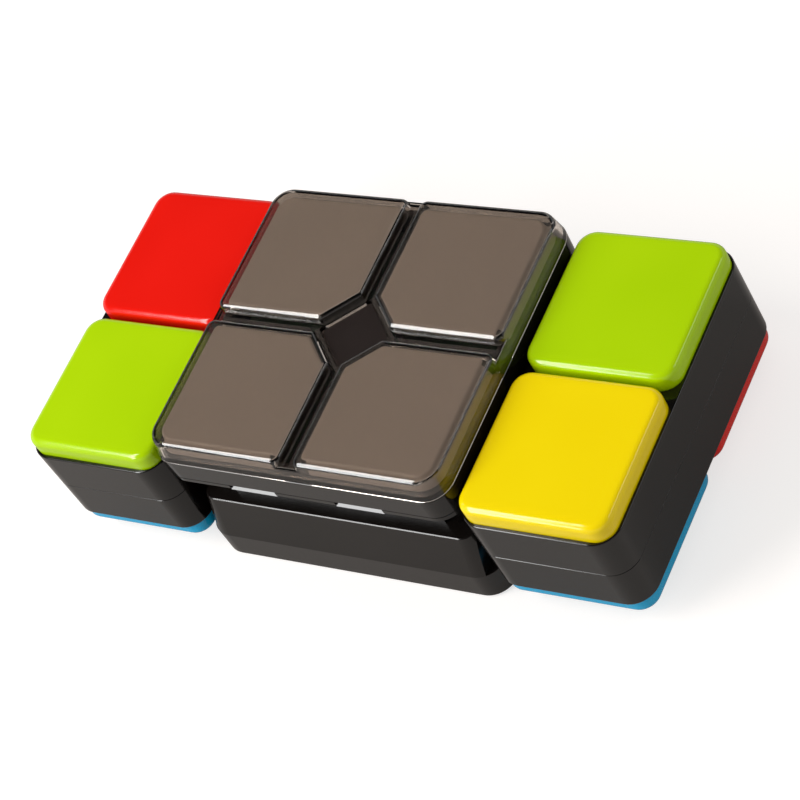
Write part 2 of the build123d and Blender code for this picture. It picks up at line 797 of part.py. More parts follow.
def key_flats():
    # two flats on the spigot's end, so that the ring can't turn on it
    flats = []
    for side in (-1, 1):
        y = side * (ring_key_radius + 1.2)
        flats.append(box((ring_x, washer_x + 1), (y - 1.9, y + 1.9),
                         (flip_axis_height - 4, flip_axis_height + 4)))
    return joined(flats)


def slide_spring():
    # bowed strip in the pocket of the rail head, running on the guide wall
    back = head_inner_x + slide_spring_pocket
    front = back - slide_spring_thickness
    crown = guide_outer_x + 0.05
    end = slide_spring_half_length
    outer_bow = ThreePointArc((front, -end), (crown, 0), (front, end))
    inner_bow = ThreePointArc((back, -end), (crown + slide_spring_thickness, 0), (back, end))
    outline = outer_bow + inner_bow + Line((front, -end), (back, -end)) + Line((front, end), (back, end))
    face = Pos(0, 0, parting_height) * make_face(outline)
    return extrude(face, amount=slide_spring_half_width, both=True)


def index_ring():
    ring = rod_x(0, flip_axis_height, ring_radius, ring_x, washer_x)
    hole = rod_x(0, flip_axis_height, ring_key_radius + 0.05, ring_x - 1, washer_x + 1)
    keep = box((ring_x - 1, washer_x + 1), (-ring_key_radius + 0.65, ring_key_radius - 0.65),
               (flip_axis_height - 4, flip_axis_height + 4))
    ring = ring - (hole & keep)
    for side in (-1, 1):
        ring = ring - rod_x(0, flip_axis_height + side * ring_radius, ring_notch_radius, ring_x - 1, washer_x + 1)
    return ring


def retaining_washer():
    washer = rod_x(0, flip_axis_height, washer_radius, washer_x, screw_head_x)
    return washer - rod_x(0, flip_axis_height, screw_radius + 0.1, washer_x - 1, screw_head_x + 1)


def spigot_screw():
    head = rod_x(0, flip_axis_height, screw_head_radius, screw_head_x, screw_head_x + screw_head_height)
    shank = rod_x(0, flip_axis_height, screw_radius, ring_x - 3, screw_head_x)
    end = screw_head_x + screw_head_height
    slot = box((end - 0.6, end + 1), (-0.3, 0.3), (flip_axis_height - 1.5, flip_axis_height + 1.5))
    return head + shank - slot - slot.rotate(Axis((0, 0, flip_axis_height), (1, 0, 0)), 90)


def block_half():
    # upper shell of the right end block; the lower one is the same piece turned over
    half_width = block_width / 2
    half_depth = block_depth / 2
    body = rounded_block(half_width, half_depth, flip_axis_height, block_high, corner_radius)
    body = fillet(body.faces().sort_by(Axis.Z)[-1].edges(), top_edge_radius)
    body = chamfer(body.faces().sort_by(Axis.Z)[0].edges(), parting_groove)
    inner = rounded_block(half_width - block_wall, half_depth - block_wall, flip_axis_height,
                          block_high - block_wall - cap_seat_depth, corner_radius - block_wall)
    body = body - inner
    seat = cap_size / 2 + cap_seat_gap
    for side in (-1, 1):
        recess = rounded_block(seat, seat, block_high - cap_seat_depth, block_high + 1, cap_corner_radius + cap_seat_gap)
        body = body - Pos(0, side * cap_y, 0) * recess
        for x in (-1, 1):
            peg_x = x * (cap_size / 2 - cap_peg_inset)
            body = body - rod_z(peg_x, side * cap_y, cap_peg_radius + 0.05, flip_axis_height, block_high + 1)
    return Pos(block_centre_x, 0, 0) * body


def spigot_bore():
    return rod_x(0, flip_axis_height, spigot_radius + spigot_running_gap, block_inner_x - 1,
                 spigot_shoulder_x + 1)


def upper_shell():
    body = block_half()
    wall_x = block_inner_x + block_wall
    boss = rod_x(0, flip_axis_height, spigot_boss_radius, wall_x - 0.1, spigot_shoulder_x)
    upper_space = box((block_inner_x, block_inner_x + block_width), (-half_y, half_y),
                      (flip_axis_height, block_high - 0.5))
    body = body + (boss & upper_space) - spigot_bore()
    roof = block_high - block_wall - cap_seat_depth
    strip_top = flip_spring_low + flip_spring_thickness
    for y in (-flip_spring_length / 2 + 3, flip_spring_length / 2 - 3):
        body = body + box((ring_x, washer_x), (y - 2, y + 2), (strip_top, roof + 0.1))
        body = body + rod_z((ring_x + washer_x) / 2, y, 0.8, flip_spring_low - 0.6, strip_top + 0.1)
    pocket_z = flip_axis_height + magnet_raise
    pocket = rod_x(sensor_spacing, pocket_z, magnet_radius + 1.2, wall_x - 0.1, wall_x + magnet_thickness)
    pocket = pocket - rod_x(sensor_spacing, pocket_z, magnet_radius + 0.05, wall_x, wall_x + magnet_thickness + 1)
    body = body + pocket
    for x in (-block_screw_x, block_screw_x):
        for y in (-block_screw_y, block_screw_y):
            at_x = block_centre_x + x
            body = body + rod_z(at_x, y, screw_post_radius, flip_axis_height, roof + 0.1)
            body = body - rod_z(at_x, y, screw_radius, flip_axis_height - 1, roof - 1)
    return body


def lower_shell():
    body = block_half().rotate(Axis((0, 0, flip_axis_height), (1, 0, 0)), 180)
    wall_x = block_inner_x + block_wall
    boss = rod_x(0, flip_axis_height, spigot_boss_radius, wall_x - 0.1, spigot_shoulder_x)
    lower_space = box((block_inner_x, block_inner_x + block_width), (-half_y, half_y),
                      (block_low + 0.5, flip_axis_height))
    body = body + (boss & lower_space) - spigot_bore()
    seat = block_low + cap_seat_depth
    for x in (-block_screw_x, block_screw_x):
        for y in (-block_screw_y, block_screw_y):
            at_x = block_centre_x + x
            body = body + rod_z(at_x, y, screw_post_radius, seat + 0.1, flip_axis_height)
            body = body - rod_z(at_x, y, screw_radius + screw_clearance, seat - 1, flip_axis_height + 1)
    return body


def shell_screws():
    seat = block_low + cap_seat_depth
    roof = block_high - block_wall - cap_seat_depth
    screws = []
    for x in (-block_screw_x, block_screw_x):
        for y in (-block_screw_y, block_screw_y):
            at_x = block_centre_x + x
            head = rod_z(at_x, y, screw_head_radius, seat - screw_head_height, seat)
            shank = rod_z(at_x, y, screw_radius, seat, roof - 2)
            screws.append(head + shank - cross_slot(at_x, y, seat - screw_head_height))
    return screws


def cap(end, face):
    # end is -1 for the front cap and 1 for the back one; face is 1 on top and -1 underneath
    low = block_high - cap_seat_depth
    high = block_high + cap_stand
    half = cap_size / 2
    shell = rounded_block(half, half, low, high, cap_corner_radius)
    shell = fillet(shell.faces().sort_by(Axis.Z)[-1].edges(), cap_top_fillet)
    shell = shell - rounded_block(half - cap_wall, half - cap_wall, low, high - cap_wall,
                                  cap_corner_radius - cap_wall)
    for x in (-1, 1):
        peg_x = x * (half - cap_peg_inset)
        shell = shell + rod_z(peg_x, 0, cap_peg_radius, low - block_wall + 0.2, high - cap_wall + 0.1)
        shell = shell + rod_z(peg_x, 0, cap_peg_radius + 1, low, high - cap_wall + 0.1)
    solid = Pos(block_centre_x, end * cap_y, 0) * shell
    if face < 0:
        solid = mirror(solid, about=Plane((0, 0, flip_axis_height), z_dir=(0, 0, 1)))
    return solid


def flip_spring():
    middle = (ring_x + washer_x) / 2
    half = flip_spring_length / 2
    strip = box((ring_x + 0.3, washer_x - 0.3), (-half, half),
                (flip_spring_low, flip_spring_low + flip_spring_thickness))
    bump = rod_x(0, flip_spring_low, flip_spring_bump, ring_x + 0.3, washer_x - 0.3)
    bump = bump & box((ring_x, washer_x), (-2, 2), (flip_spring_low - 2, flip_spring_low + 0.1))
    strip = strip + bump
    for y in (-half + 3, half - 3):
        strip = strip - rod_z(middle, y, 0.85, flip_spring_low - 1, flip_spring_low + 1)
    return strip


def block_magnet():
    wall_x = block_inner_x + block_wall
    return rod_x(sensor_spacing, flip_axis_height + magnet_raise, magnet_radius, wall_x,
                 wall_x + magnet_thickness)


def write(name, shape):
    # one file for each node; a list is a group of separate solids
    if isinstance(shape, (list, tuple)):
        solids = [solid for item in shape for solid in item.solids()]
    else:
        solids = list(shape.solids())
    whole = solids[0] if len(solids) == 1 else Compound(children=solids)
    export_step(whole, f"parts/{name}.step")
    print(f"{name:28s} {len(solids)} solid(s) {sum(solid.volume for solid in solids):10.1f} mm3")


def on_side(side, shape):
    # the left side is the right side mirrored
    if side == "right":
        return shape
    if isinstance(shape, list):
        return [mirror(item, about=Plane.YZ) for item in shape]
    return mirror(shape, about=Plane.YZ)


os.makedirs("parts", exist_ok=True)

write("window_cover", window_cover())
for place, quadrant in quadrants.items():
    write(f"diffuser_{place}", diffuser(quadrant))
write("light_box", light_box())
write("start_button", start_button())
write("start_switch_body", start_switch_body())
write("start_switch_plunger", start_switch_plunger())
write("upper_housing", upper_housing())
write("lower_housing", lower_housing())
write("battery_door", battery_door())
write("battery_door_screw", battery_door_screw())
write("housing_screws", housing_screws())
for index, place in enumerate(("left", "middle", "right")):
    write(f"battery_{place}", battery(index))
write("battery_contact_plates", battery_contact_plates())
write("battery_leaf_springs", battery_leaf_springs())
write("main_board", main_board())
write("board_screws", board_screws())
write("light_emitters", light_emitters())
write("controller_chip", controller_chip())
write("speaker", speaker())
write("power_switch_body", power_switch_body())
write("power_switch_knob", power_switch_knob())
for side in ("left", "right"):
    write(f"{side}_side_board", on_side(side, side_board()))
    write(f"{side}_sensors", on_side(side, side_sensors()))
    write(f"{side}_carriage", on_side(side, carriage()))
    write(f"{side}_slide_spring", on_side(side, slide_spring()))
    write(f"{side}_index_ring", on_side(side, index_ring()))
    write(f"{side}_retaining_washer", on_side(side, retaining_washer()))
    write(f"{side}_spigot_screw", on_side(side, spigot_screw()))
    write(f"{side}_upper_shell", on_side(side, upper_shell()))
    write(f"{side}_lower_shell", on_side(side, lower_shell()))
    write(f"{side}_shell_screws", on_side(side, shell_screws()))
    write(f"{side}_flip_spring", on_side(side, flip_spring()))
    write(f"{side}_magnet", on_side(side, block_magnet()))
    for end, end_name in ((-1, "front"), (1, "back")):
        for face, face_name in ((1, "top"), (-1, "under")):
            write(f"{side}_cap_{end_name}_{face_name}", on_side(side, cap(end, face)))
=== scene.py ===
import json
import math

import bpy
from mathutils import Matrix, Vector


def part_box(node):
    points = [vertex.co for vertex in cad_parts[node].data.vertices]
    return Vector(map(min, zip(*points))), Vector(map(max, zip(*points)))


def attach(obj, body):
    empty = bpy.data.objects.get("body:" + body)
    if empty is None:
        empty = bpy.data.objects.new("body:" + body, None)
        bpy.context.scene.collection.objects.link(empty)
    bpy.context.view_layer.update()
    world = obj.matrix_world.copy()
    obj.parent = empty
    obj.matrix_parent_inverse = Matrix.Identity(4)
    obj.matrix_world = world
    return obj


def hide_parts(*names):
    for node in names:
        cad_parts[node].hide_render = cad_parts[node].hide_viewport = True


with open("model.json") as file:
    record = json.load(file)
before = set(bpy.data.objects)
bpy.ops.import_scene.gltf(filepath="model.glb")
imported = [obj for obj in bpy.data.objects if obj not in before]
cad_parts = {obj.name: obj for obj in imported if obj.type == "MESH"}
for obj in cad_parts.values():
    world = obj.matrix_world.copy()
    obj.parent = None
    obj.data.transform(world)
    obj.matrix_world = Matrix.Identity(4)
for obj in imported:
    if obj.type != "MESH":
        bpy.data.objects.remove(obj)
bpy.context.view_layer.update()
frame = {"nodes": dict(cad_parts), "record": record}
print("frame loaded with", len(frame["nodes"]), "nodes")

# camera: the photograph's own viewpoint, above the right front corner, rolled to the left
cameraView = {
    "place": (0.41494, -0.32780, 0.56399),
    "aim": (0.004686, -0.003606, 0.024),
    "rollDegrees": -34.529,
    "lens": 130.59,
    "sensor": 36.0,
    "nearest": 0.01,
}


def placeCamera(view):
    data = bpy.data.cameras.new("photoCamera")
    data.lens = view["lens"]
    data.sensor_width = view["sensor"]
    data.clip_start = view["nearest"]
    camera = bpy.data.objects.new("photoCamera", data)
    bpy.context.collection.objects.link(camera)
    forward = (Vector(view["aim"]) - Vector(view["place"])).normalized()
    level = forward.cross(Vector((0, 0, 1))).normalized()
    rise = level.cross(forward)
    roll = math.radians(view["rollDegrees"])
    right = level * math.cos(roll) + rise * math.sin(roll)
    up = right.cross(forward)
    turn = Matrix((right, up, -forward)).transposed().to_4x4()
    camera.matrix_world = Matrix.Translation(view["place"]) @ turn
    bpy.context.scene.camera = camera


placeCamera(cameraView)
bpy.context.scene.view_settings.view_transform = "Standard"
print("camera placed")


def hexColour(text):
    # sRGB hex to the linear values that shaders take
    values = [int(text[i:i + 2], 16) / 255 for i in (0, 2, 4)]
    return [v / 12.92 if v <= 0.04045 else ((v + 0.055) / 1.055) ** 2.4 for v in values] + [1.0]


def addNode(tree, kind, settings=None, inputs=None):
    # one node with its settings; an input is a value or another node's output socket
    node = tree.nodes.new(kind)
    for name, value in (settings or {}).items():
        setattr(node, name, value)
    for name, value in (inputs or {}).items():
        if isinstance(value, bpy.types.NodeSocket):
            tree.links.new(value, node.inputs[name])
        else:
            node.inputs[name].default_value = value
    return node


# sorts of step: a share is a number held between 0 and 1
stepSorts = {
    "number": ("ShaderNodeMath", {}),
    "share": ("ShaderNodeMath", {"use_clamp": True}),
    "vector": ("ShaderNodeVectorMath", {}),
}


def addSteps(tree, known, steps):
    # each row is a name, a sort, an operation and its values; a value that is a known name is linked
    for name, sort, operation, *values in steps:
        kind, settings = stepSorts[sort]
        inputs = {place: known.get(value, value) for place, value in enumerate(values)}
        known[name] = addNode(tree, kind, {"operation": operation, **settings}, inputs).outputs[0]


def newMaterial(name):
    material = bpy.data.materials.new(name)
    material.use_nodes = True
    material.node_tree.nodes.clear()
    return material, material.node_tree


def closeMaterial(tree, shader):
    output = addNode(tree, "ShaderNodeOutputMaterial")
    tree.links.new(shader, output.inputs["Surface"])


# polished ABS: injection moulded in a mirror finished tool, so it is glossy with a faint orange peel
polishedAbs = {
    "ior": 1.54,
    "roughness": 0.09,
    "roughnessSpread": 0.05,
    "peelMillimetres": 2.2,
    "peelDepthMillimetres": 0.002,
    "smearMillimetres": 18.0,
    "mirror": 0.5,
}


def makePolishedAbs(name, colour, deeper, finish=polishedAbs, **changes):
    finish = {**finish, **changes}
    material, tree = newMaterial(name)
    place = addNode(tree, "ShaderNodeTexCoord")
    smear = addNode(tree, "ShaderNodeTexNoise", None, {
        "Vector": place.outputs["Object"], "Scale": 1000 / finish["smearMillimetres"], "Detail": 0.0})
    tone = addNode(tree, "ShaderNodeMix", {"data_type": "RGBA"}, {
        0: smear.outputs["Fac"], 6: hexColour(deeper), 7: hexColour(colour)})
    shine = addNode(tree, "ShaderNodeMapRange", None, {
        "Value": smear.outputs["Fac"],
        "To Min": finish["roughness"], "To Max": finish["roughness"] + finish["roughnessSpread"]})
    peel = addNode(tree, "ShaderNodeTexNoise", None, {
        "Vector": place.outputs["Object"], "Scale": 1000 / finish["peelMillimetres"], "Detail": 0.0})
    bump = addNode(tree, "ShaderNodeBump", None, {
        "Height": peel.outputs["Fac"], "Distance": finish["peelDepthMillimetres"] / 1000, "Strength": 1.0})
    shader = addNode(tree, "ShaderNodeBsdfPrincipled", None, {
        "Base Color": tone.outputs[2], "Roughness": shine.outputs["Result"],
        "IOR": finish["ior"], "Specular IOR Level": finish["mirror"], "Normal": bump.outputs["Normal"]})
    closeMaterial(tree, shader.outputs["BSDF"])
    return material


# textured ABS: moulded in an etched tool, so a fine even grain breaks the reflection up
grainedAbs = {
    "ior": 1.52,
    "roughness": 0.34,
    "grainMillimetres": 0.35,
    "grainDepthMillimetres": 0.012,
    "shadesPerMetre": 45.0,
    "shadeSpread": 0.15,
}


def makeGrainedAbs(name, colour, finish=grainedAbs, **changes):
    finish = {**finish, **changes}
    material, tree = newMaterial(name)
    place = addNode(tree, "ShaderNodeTexCoord")
    grain = addNode(tree, "ShaderNodeTexNoise", None, {
        "Vector": place.outputs["Object"], "Scale": 1000 / finish["grainMillimetres"], "Detail": 2.0})
    shade = addNode(tree, "ShaderNodeTexNoise", None, {
        "Vector": place.outputs["Object"], "Scale": finish["shadesPerMetre"], "Detail": 2.0})
    tone = addNode(tree, "ShaderNodeHueSaturation", None, {
        "Color": hexColour(colour),
        "Value": addNode(tree, "ShaderNodeMapRange", None, {
            "Value": shade.outputs["Fac"], "To Min": 1 - finish["shadeSpread"],
            "To Max": 1 + finish["shadeSpread"]}).outputs["Result"]})
    bump = addNode(tree, "ShaderNodeBump", None, {
        "Height": grain.outputs["Fac"], "Distance": finish["grainDepthMillimetres"] / 1000, "Strength": 1.0})
    shader = addNode(tree, "ShaderNodeBsdfPrincipled", None, {
        "Base Color": tone.outputs["Color"], "Roughness": finish["roughness"],
        "IOR": finish["ior"], "Normal": bump.outputs["Normal"]})
    closeMaterial(tree, shader.outputs["BSDF"])
    return material


# smoked polystyrene: clear and polished, tinted grey brown in the mass, so what is behind it shows
# darker; its faces wave by a few thousandths of a millimetre, and lamps shine through it less tinted
smokedStyrene = {
    "tint": "B4AAA1",
    "ior": 1.59,
    "roughness": 0.02,
    "lampTint": "D7D1CB",
    "wavesPerMetre": 60.0,
    "waveDepthMillimetres": 0.004,
    "waveStrength": 0.4,
}


def makeSmokedStyrene(look):
    material, tree = newMaterial("smokedStyreneWindow")
    place = addNode(tree, "ShaderNodeTexCoord")
    flow = addNode(tree, "ShaderNodeTexNoise", None, {
        "Vector": place.outputs["Object"], "Scale": look["wavesPerMetre"], "Detail": 1.0})
    bump = addNode(tree, "ShaderNodeBump", None, {
        "Height": flow.outputs["Fac"], "Distance": look["waveDepthMillimetres"] / 1000,
        "Strength": look["waveStrength"]})
    glassy = addNode(tree, "ShaderNodeBsdfPrincipled", None, {
        "Base Color": hexColour(look["tint"]), "Roughness": look["roughness"], "IOR": look["ior"],
        "Transmission Weight": 1.0, "Normal": bump.outputs["Normal"]})
    clear = addNode(tree, "ShaderNodeBsdfTransparent", None, {"Color": hexColour(look["lampTint"])})
    path = addNode(tree, "ShaderNodeLightPath")
    mix = addNode(tree, "ShaderNodeMixShader", None, {
        0: path.outputs["Is Shadow Ray"], 1: glassy.outputs["BSDF"], 2: clear.outputs["BSDF"]})
    closeMaterial(tree, mix.outputs["Shader"])
    return material


# frosted styrene: a milky sheet that scatters the lamps under it, so it is flat and even; its steep sides
# towards its neighbours and the middle are coloured near black, a painted shade for the dark valleys
frostedStyrene = {
    "colour": "B5AEA8",
    "paintedShadeColour": "0C0B0A",
    "roughness": 0.5,
    "ior": 1.59,
    "cloudsPerMetre": 22.0,
    "cloudSpread": 0.07,
    "speckMillimetres": 1.2,
    "speckDepthMillimetres": 0.01,
    "paintedShadeWithin": 0.0055,
    "paintedShadeCorner": 0.0165,
    "steepBelow": 0.7,
}


def makeFrostedStyrene(look):
    material, tree = newMaterial("frostedStyreneDiffuser")
    place = addNode(tree, "ShaderNodeTexCoord")
    cloud = addNode(tree, "ShaderNodeTexNoise", None, {
        "Vector": place.outputs["Object"], "Scale": look["cloudsPerMetre"], "Detail": 2.0})
    tone = addNode(tree, "ShaderNodeHueSaturation", None, {
        "Color": hexColour(look["colour"]),
        "Value": addNode(tree, "ShaderNodeMapRange", None, {
            "Value": cloud.outputs["Fac"], "To Min": 1 - look["cloudSpread"],
            "To Max": 1 + look["cloudSpread"]}).outputs["Result"]})
    apart = addNode(tree, "ShaderNodeSeparateXYZ", None, {"Vector": place.outputs["Object"]}).outputs
    facing = addNode(tree, "ShaderNodeSeparateXYZ", None, {"Vector": place.outputs["Normal"]}).outputs
    known = {"x": apart["X"], "y": apart["Y"], "upward": facing["Z"]}
    # painted shade: marks the steep sides that lie near the valleys between windows or near the middle
    addSteps(tree, known, (
        ("acrossX", "number", "ABSOLUTE", "x"),
        ("acrossY", "number", "ABSOLUTE", "y"),
        ("nearer", "number", "MINIMUM", "acrossX", "acrossY"),
        ("valley", "number", "LESS_THAN", "nearer", look["paintedShadeWithin"]),
        ("together", "number", "ADD", "acrossX", "acrossY"),
        ("middle", "number", "LESS_THAN", "together", look["paintedShadeCorner"]),
        ("steep", "number", "LESS_THAN", "upward", look["steepBelow"]),
        ("inward", "number", "MAXIMUM", "valley", "middle"),
        ("paintedShade", "number", "MULTIPLY", "steep", "inward"),
    ))
    # the marked sides take the near black painted shade colour in place of their own tone
    toneWithShade = addNode(tree, "ShaderNodeMix", {"data_type": "RGBA"}, {
        0: known["paintedShade"], 6: tone.outputs["Color"], 7: hexColour(look["paintedShadeColour"])})
    speck = addNode(tree, "ShaderNodeTexNoise", None, {
        "Vector": place.outputs["Object"], "Scale": 1000 / look["speckMillimetres"]})
    bump = addNode(tree, "ShaderNodeBump", None, {
        "Height": speck.outputs["Fac"], "Distance": look["speckDepthMillimetres"] / 1000,
        "Strength": 1.0})
    shader = addNode(tree, "ShaderNodeBsdfPrincipled", None, {
        "Base Color": toneWithShade.outputs[2], "Roughness": look["roughness"], "IOR": look["ior"],
        "Normal": bump.outputs["Normal"]})
    closeMaterial(tree, shader.outputs["BSDF"])
    return material


# metals: zinc plated screws are dull and a little cloudy, spring strip is brighter; the roughness of
# each is spread by the clouding, from its brightest to its dullest share
metalClouding = {"brightest": 0.8, "dullest": 1.25}
plainMetals = {
    "zincPlatedSteel": {"colour": "B7B8B4", "roughness": 0.38, "cloudMillimetres": 1.5},
    "springSteelStrip": {"colour": "C9CACB", "roughness": 0.22, "cloudMillimetres": 0.6},
    "nickelPlatedMagnet": {"colour": "B2B3B4", "roughness": 0.18, "cloudMillimetres": 3.0},
    "steelCellCan": {"colour": "8D9296", "roughness": 0.3, "cloudMillimetres": 6.0},
    "speakerSteel": {"colour": "5A5B5E", "roughness": 0.45, "cloudMillimetres": 2.0},
}


def makeMetal(name, look):
    material, tree = newMaterial(name)
    place = addNode(tree, "ShaderNodeTexCoord")
    cloud = addNode(tree, "ShaderNodeTexNoise", None, {
        "Vector": place.outputs["Object"], "Scale": 1000 / look["cloudMillimetres"], "Detail": 3.0})
    dull = addNode(tree, "ShaderNodeMapRange", None, {
        "Value": cloud.outputs["Fac"], "To Min": look["roughness"] * metalClouding["brightest"],
        "To Max": look["roughness"] * metalClouding["dullest"]})
    shader = addNode(tree, "ShaderNodeBsdfPrincipled", None, {
        "Base Color": hexColour(look["colour"]), "Metallic": 1.0, "Roughness": dull.outputs["Result"]})
    closeMaterial(tree, shader.outputs["BSDF"])
    return material


# the caps are polished ABS with a bright pigment, a deeper and a lighter tone of it smeared together
capColours = {
    "red": ("F4180B", "EA1508"),
    "lime": ("B6DE00", "AED800"),
    "yellow": ("FFE200", "FADB00"),
    "blue": ("00B4E8", "00ACE0"),
}
caps = {colour: makePolishedAbs(colour + "PolishedAbs", *tones, roughness=0.1, roughnessSpread=0.05,
                                mirror=0.4)
        for colour, tones in capColours.items()}

# black ABS: polished for the shells, satin from a finer blasted tool for the lower housing, and finely
# grained where it lies under the cover
blackPolished = makePolishedAbs("blackPolishedAbs", "0E0B0A", "090706")
blackSatin = makePolishedAbs("blackSatinAbs", "181412", "13100E", roughness=0.16, roughnessSpread=0.05,
                             peelMillimetres=1.1, peelDepthMillimetres=0.006)
blackGrained = makeGrainedAbs("blackGrainedAbs", "2A2321", roughness=0.2, grainDepthMillimetres=0.003)

# acetal slides and reflects with a waxy, even sheen; the moulded epoxy of a chip is dull, and solder
# mask is a soft green gloss over the board
blackAcetal = makeGrainedAbs("blackAcetal", "17171A", roughness=0.3, grainDepthMillimetres=0.006)
naturalAcetal = makeGrainedAbs("naturalAcetal", "DCD8CC", roughness=0.35, grainDepthMillimetres=0.005)
greyAbs = makeGrainedAbs("greyGrainedAbs", "56575A", roughness=0.4)
chipEpoxy = makeGrainedAbs("chipEpoxy", "1B1B1D", roughness=0.5)
boardEpoxy = makePolishedAbs("greenSolderMask", "2F6A3C", "265A32", roughness=0.3, roughnessSpread=0.1)

window = makeSmokedStyrene(smokedStyrene)
diffuser = makeFrostedStyrene(frostedStyrene)
metals = {name: makeMetal(name, look) for name, look in plainMetals.items()}
print("materials made")

finishes = {
    "smoked_window": window,
    "diffuser": diffuser,
    "white_reflector": naturalAcetal,
    "black_satin": blackGrained,
    "black_gloss": blackPolished,
    "dark_satin": blackSatin,
    "rail_black": blackAcetal,
    "knob_grey": greyAbs,
    "ring_white": naturalAcetal,
    "zinc_steel": metals["zincPlatedSteel"],
    "spring_steel": metals["springSteelStrip"],
    "cell_can": metals["steelCellCan"],
    "circuit_board": boardEpoxy,
    "emitter_white": naturalAcetal,
    "chip_black": chipEpoxy,
    "speaker_grey": metals["speakerSteel"],
    "magnet_nickel": metals["nickelPlatedMagnet"],
    "cap_red": caps["red"],
    "cap_lime": caps["lime"],
    "cap_yellow": caps["yellow"],
    "cap_blue": caps["blue"],
}
slotOf = {part["node"]: part["material_slot"] for part in frame["record"]["subparts"]}
for name, node in frame["nodes"].items():
    finish = finishes[slotOf[name]]
    if not node.material_slots:
        node.data.materials.append(finish)
    for slot in node.material_slots:
        slot.material = finish
print("finishes set on the frame's nodes")


# Geometry Nodes trees: each is built here with named inputs, and its result is kept as a plain mesh
def newTree(name, inputs):
    tree = bpy.data.node_groups.new(name, "GeometryNodeTree")
    tree.interface.new_socket(name="Geometry", in_out="OUTPUT", socket_type="NodeSocketGeometry")
    for label, kind in inputs.items():
        tree.interface.new_socket(name=label, in_out="INPUT", socket_type="NodeSocket" + kind)
    given = addNode(tree, "NodeGroupInput").outputs
    return tree, {label: given[label] for label in inputs}


def closeTree(tree, geometry, finish):
    real = addNode(tree, "GeometryNodeRealizeInstances", None, {"Geometry": geometry})
    dressed = addNode(tree, "GeometryNodeSetMaterial", None, {
        "Geometry": real.outputs[0], "Material": finish})
    addNode(tree, "NodeGroupOutput", None, {"Geometry": dressed.outputs[0]})


def makeFromTree(name, tree, values):
    # runs the tree on an empty mesh and keeps what it makes as the piece's own mesh
    piece = bpy.data.objects.new(name, bpy.data.meshes.new(name + "Seed"))
    bpy.context.collection.objects.link(piece)
    modifier = piece.modifiers.new(tree.name, "NODES")
    modifier.node_group = tree
    for socket in tree.interface.items_tree:
        if socket.in_out == "INPUT":
            modifier[socket.identifier] = values[socket.name]
    graph = bpy.context.evaluated_depsgraph_get()
    mesh = bpy.data.meshes.new_from_object(piece.evaluated_get(graph))
    piece.modifiers.remove(modifier)
    mesh.name = name
    piece.data = mesh
    return piece


# colour cap: a square with round corners, straight walls, a round top edge and a slight crown
capShape = {
    "Corner Radius": 0.0052,
    "Edge Radius": 0.0020,
    "Depth": 0.0068,
    "Rim": 0.0003,
    "Crown": 0.00012,
    "Rings": 24,
    "Edge Steps": 8,
}
smallestReach = 0.00001
weldDistance = 0.000001


